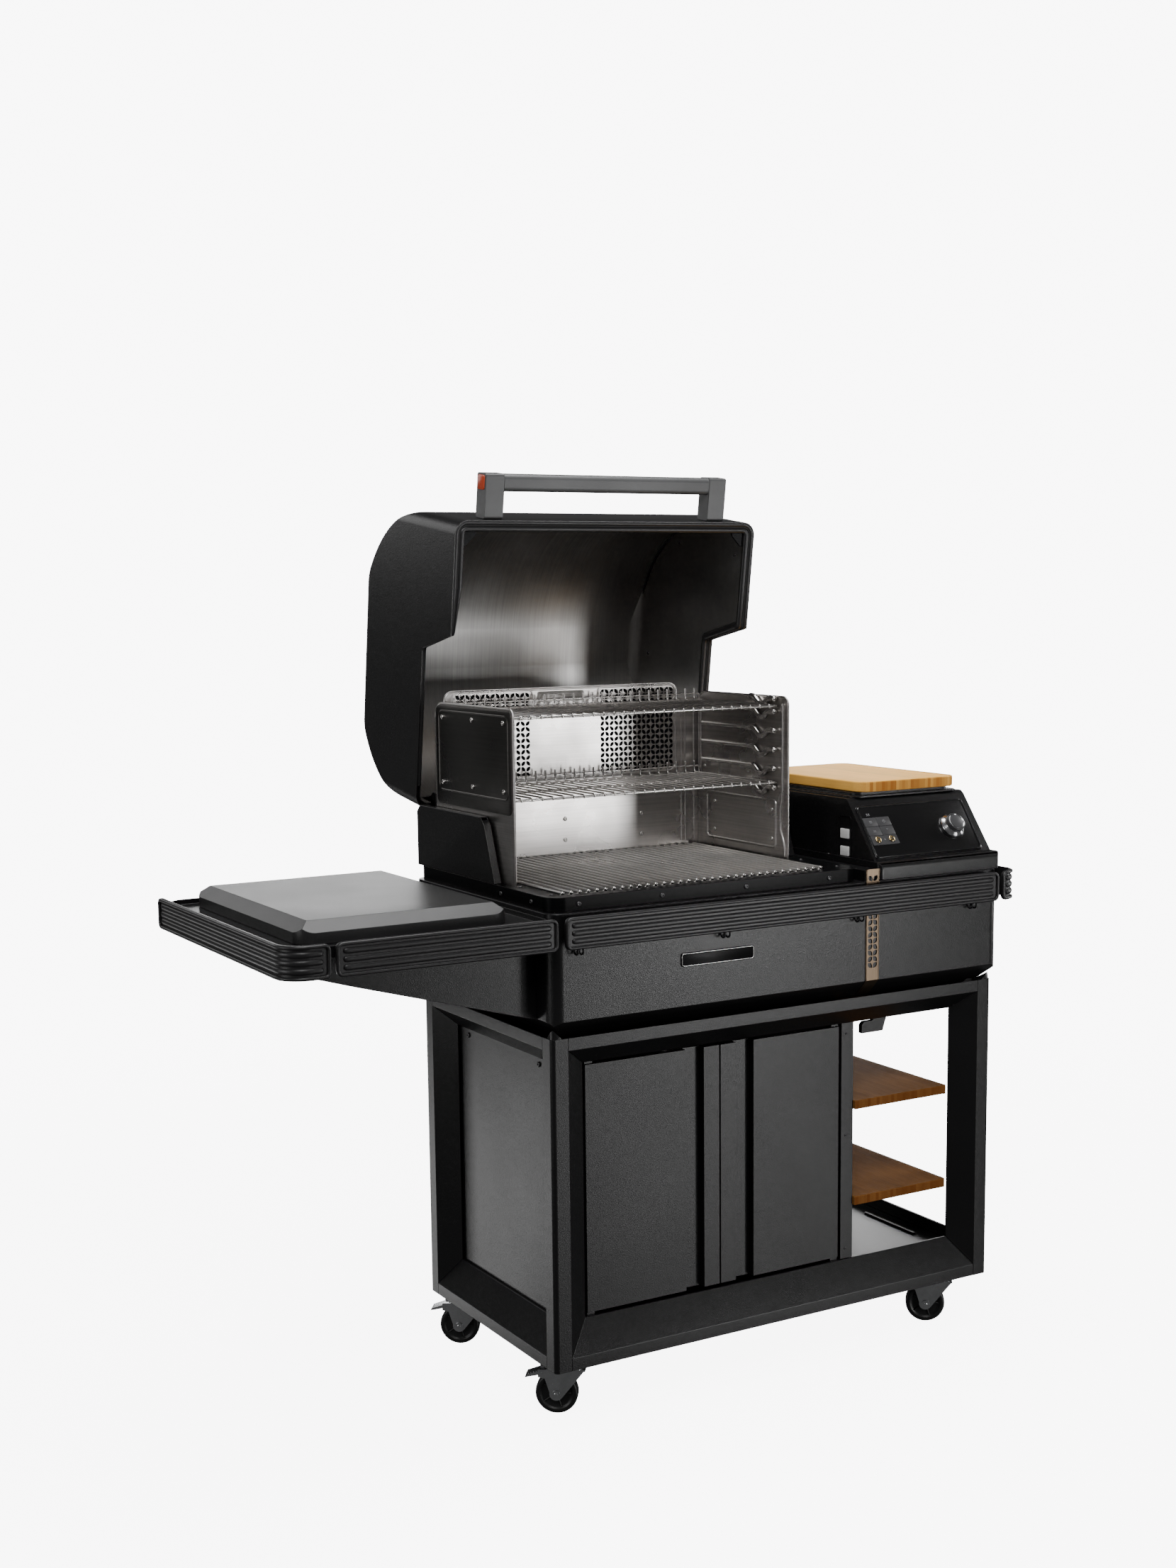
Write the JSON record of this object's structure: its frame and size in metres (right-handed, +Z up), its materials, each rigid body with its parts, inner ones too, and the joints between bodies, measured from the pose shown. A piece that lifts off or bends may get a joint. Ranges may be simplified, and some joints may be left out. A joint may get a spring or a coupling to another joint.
{
  "type": "pellet smoker grill",
  "caption": "Pellet-fed smoker grill on a wheeled cart, with hinged hood, racks, pellet hopper and control panel, side shelf, accessory rails, storage doors and open bay.",
  "frame": {"origin": "on the floor, at the centre of the bounding box of the whole part at rest (lid open)", "axes": "+X to the cook's right along the front, +Y from the front to the back, +Z up"},
  "size_m": [1.499, 0.8078, 1.6518],
  "materials": {
    "powder_black": "satin, fine-textured black powder coat",
    "gloss_black": "gloss black enamel",
    "rail_black": "satin black, edges rolled bright",
    "cover_black": "satin black",
    "stainless": "brushed sheet, pressed and folded",
    "smoked_steel": "dark satin stainless",
    "wire_steel": "polished drawn wire",
    "grate_steel": "drawn rod with a dull polish",
    "galvanised": "plain zinc-coated sheet",
    "bronze_strip": "satin bronze tint, perforated",
    "plate_grey": "satin, blank",
    "handle_grey": "dark grey satin",
    "inlay_orange": "semi-gloss orange-red",
    "gasket": "woven glass-fibre seal",
    "glass_black": "polished black glass ceramic",
    "fascia_black": "gloss black, moulded raised border",
    "key_grey": "soft satin dark grey",
    "jack_brass": "bright turned brass",
    "knob_chrome": "brushed face, polished ring",
    "bamboo_board": "oiled light bamboo strips",
    "bamboo_shelf": "varnished mid-brown bamboo strips",
    "zinc": "bright zinc-plated pressings",
    "wheel_black": "moulded, satin",
    "dark_steel": "bare dark steel and black oxide"
  },
  "bodies": {
    "cart": {"base_rails": "powder_black", "corner_posts": "powder_black", "top_rails": "powder_black", "base_floor": "powder_black", "cabinet_panels": "powder_black", "bamboo_shelves": "bamboo_shelf", "cart_fittings": "powder_black", "tub_shell": "powder_black", "tub_rim": "gloss_black", "rear_collar": "powder_black", "side_walls": "stainless", "back_wall": "stainless", "frame_screws": "dark_steel", "cooking_grates": "grate_steel", "vent_strip": "bronze_strip", "name_plate": "plate_grey", "front_rail": "rail_black", "side_rails": "rail_black", "side_shelf": "powder_black", "hob_glass": "glass_black", "hopper_housing": "powder_black", "hopper_bin": "powder_black", "control_fascia": "fascia_black", "key_pad": "key_grey", "probe_jacks": "jack_brass", "fire_pot": "dark_steel", "auger_tube": "galvanised", "auger_motor": "dark_steel", "fan_housing": "powder_black", "heat_baffle": "galvanised", "drip_tray": "galvanised", "grease_keg": "stainless", "exhaust_duct": "powder_black", "hinge_brackets": "powder_black"},
    "lid": {"lid_shell": "powder_black", "lid_liner": "smoked_steel", "lid_gasket": "gasket", "lid_handle": "handle_grey", "handle_inlay": "inlay_orange"},
    "door_left": {"door_left": "powder_black"},
    "door_right": {"door_right": "powder_black"},
    "rack_top": {"rack_top": "wire_steel"},
    "rack_middle": {"rack_middle": "wire_steel"},
    "hopper_lid": {"hopper_lid": "powder_black"},
    "cutting_board": {"cutting_board": "bamboo_board"},
    "hob_cover": {"hob_cover": "cover_black"},
    "control_knob": {"control_knob": "knob_chrome"},
    "auger_screw": {"auger_screw": "dark_steel"},
    "caster_front_left": {"caster_fork_front_left": "zinc"},
    "wheel_front_left": {"caster_wheel_front_left": "wheel_black"},
    "brake_front_left": {"brake_lever_front_left": "zinc"},
    "caster_front_right": {"caster_fork_front_right": "zinc"},
    "wheel_front_right": {"caster_wheel_front_right": "wheel_black"},
    "brake_front_right": {"brake_lever_front_right": "zinc"},
    "caster_rear_left": {"caster_fork_rear_left": "zinc"},
    "wheel_rear_left": {"caster_wheel_rear_left": "wheel_black"},
    "brake_rear_left": {"brake_lever_rear_left": "zinc"},
    "caster_rear_right": {"caster_fork_rear_right": "zinc"},
    "wheel_rear_right": {"caster_wheel_rear_right": "wheel_black"},
    "brake_rear_right": {"brake_lever_rear_right": "zinc"}
  },
  "joints": [
    {"name": "lid_hinge", "type": "hinge", "parent": "cart", "child": "lid", "pos_m": [0.0675, 0.16011, 1.054], "axis": [1, 0, 0], "range_deg": [0, 82]},
    {"name": "door_left_hinge", "type": "hinge", "parent": "cart", "child": "door_left", "pos_m": [-0.1695, -0.32089, 0.4], "axis": [0, 0, 1], "range_deg": [-94, 0]},
    {"name": "door_right_hinge", "type": "hinge", "parent": "cart", "child": "door_right", "pos_m": [0.3615, -0.32089, 0.4], "axis": [0, 0, -1], "range_deg": [-94, 0]},
    {"name": "rack_top_slide", "type": "slide", "parent": "cart", "child": "rack_top", "axis": [0, 1, 0], "range_m": [-0.2, 0]},
    {"name": "rack_middle_slide", "type": "slide", "parent": "cart", "child": "rack_middle", "axis": [0, 1, 0], "range_m": [-0.2, 0]},
    {"name": "hopper_lid_hinge", "type": "hinge", "parent": "cart", "child": "hopper_lid", "pos_m": [0.58, 0.12511, 1.052], "axis": [1, 0, 0], "range_deg": [-75, 0]},
    {"name": "cutting_board_lift", "type": "slide", "parent": "hopper_lid", "child": "cutting_board", "axis": [0, 0, -1], "range_m": [-0.12, 0]},
    {"name": "hob_cover_lift", "type": "slide", "parent": "cart", "child": "hob_cover", "axis": [0, 0, -1], "range_m": [-0.15, 0]},
    {"name": "control_knob_turn", "type": "hinge", "parent": "cart", "child": "control_knob", "pos_m": [0.6465, -0.3142, 0.98223], "axis": [0, -0.7935, 0.6086], "continuous": true},
    {"name": "auger_turn", "type": "hinge", "parent": "cart", "child": "auger_screw", "pos_m": [0.4, -0.12489, 0.775], "axis": [1, 0, 0], "continuous": true},
    {"name": "swivel_front_left", "type": "hinge", "parent": "cart", "child": "caster_front_left", "pos_m": [-0.1945, -0.30889, 0.095], "axis": [0, 0, 1], "continuous": true},
    {"name": "roll_front_left", "type": "hinge", "parent": "caster_front_left", "child": "wheel_front_left", "pos_m": [-0.21846, -0.29084, 0.038], "axis": [-0.6018, -0.7986, 0], "continuous": true},
    {"name": "brake_front_left", "type": "hinge", "parent": "caster_front_left", "child": "brake_front_left", "pos_m": [-0.23922, -0.27519, 0.074], "axis": [-0.6018, -0.7986, 0], "range_deg": [0, 10]},
    {"name": "swivel_front_right", "type": "hinge", "parent": "cart", "child": "caster_front_right", "pos_m": [0.6415, -0.30889, 0.095], "axis": [0, 0, 1], "continuous": true},
    {"name": "roll_front_right", "type": "hinge", "parent": "caster_front_right", "child": "wheel_front_right", "pos_m": [0.61754, -0.29084, 0.038], "axis": [-0.6018, -0.7986, 0], "continuous": true},
    {"name": "brake_front_right", "type": "hinge", "parent": "caster_front_right", "child": "brake_front_right", "pos_m": [0.59678, -0.27519, 0.074], "axis": [-0.6018, -0.7986, 0], "range_deg": [0, 10]},
    {"name": "swivel_rear_left", "type": "hinge", "parent": "cart", "child": "caster_rear_left", "pos_m": [-0.1945, 0.07111, 0.095], "axis": [0, 0, 1], "continuous": true},
    {"name": "roll_rear_left", "type": "hinge", "parent": "caster_rear_left", "child": "wheel_rear_left", "pos_m": [-0.21846, 0.08916, 0.038], "axis": [-0.6018, -0.7986, 0], "continuous": true},
    {"name": "brake_rear_left", "type": "hinge", "parent": "caster_rear_left", "child": "brake_rear_left", "pos_m": [-0.23922, 0.10481, 0.074], "axis": [-0.6018, -0.7986, 0], "range_deg": [0, 10]},
    {"name": "swivel_rear_right", "type": "hinge", "parent": "cart", "child": "caster_rear_right", "pos_m": [0.6415, 0.07111, 0.095], "axis": [0, 0, 1], "continuous": true},
    {"name": "roll_rear_right", "type": "hinge", "parent": "caster_rear_right", "child": "wheel_rear_right", "pos_m": [0.61754, 0.08916, 0.038], "axis": [-0.6018, -0.7986, 0], "continuous": true},
    {"name": "brake_rear_right", "type": "hinge", "parent": "caster_rear_right", "child": "brake_rear_right", "pos_m": [0.59678, 0.10481, 0.074], "axis": [-0.6018, -0.7986, 0], "range_deg": [0, 10]}
  ]
}
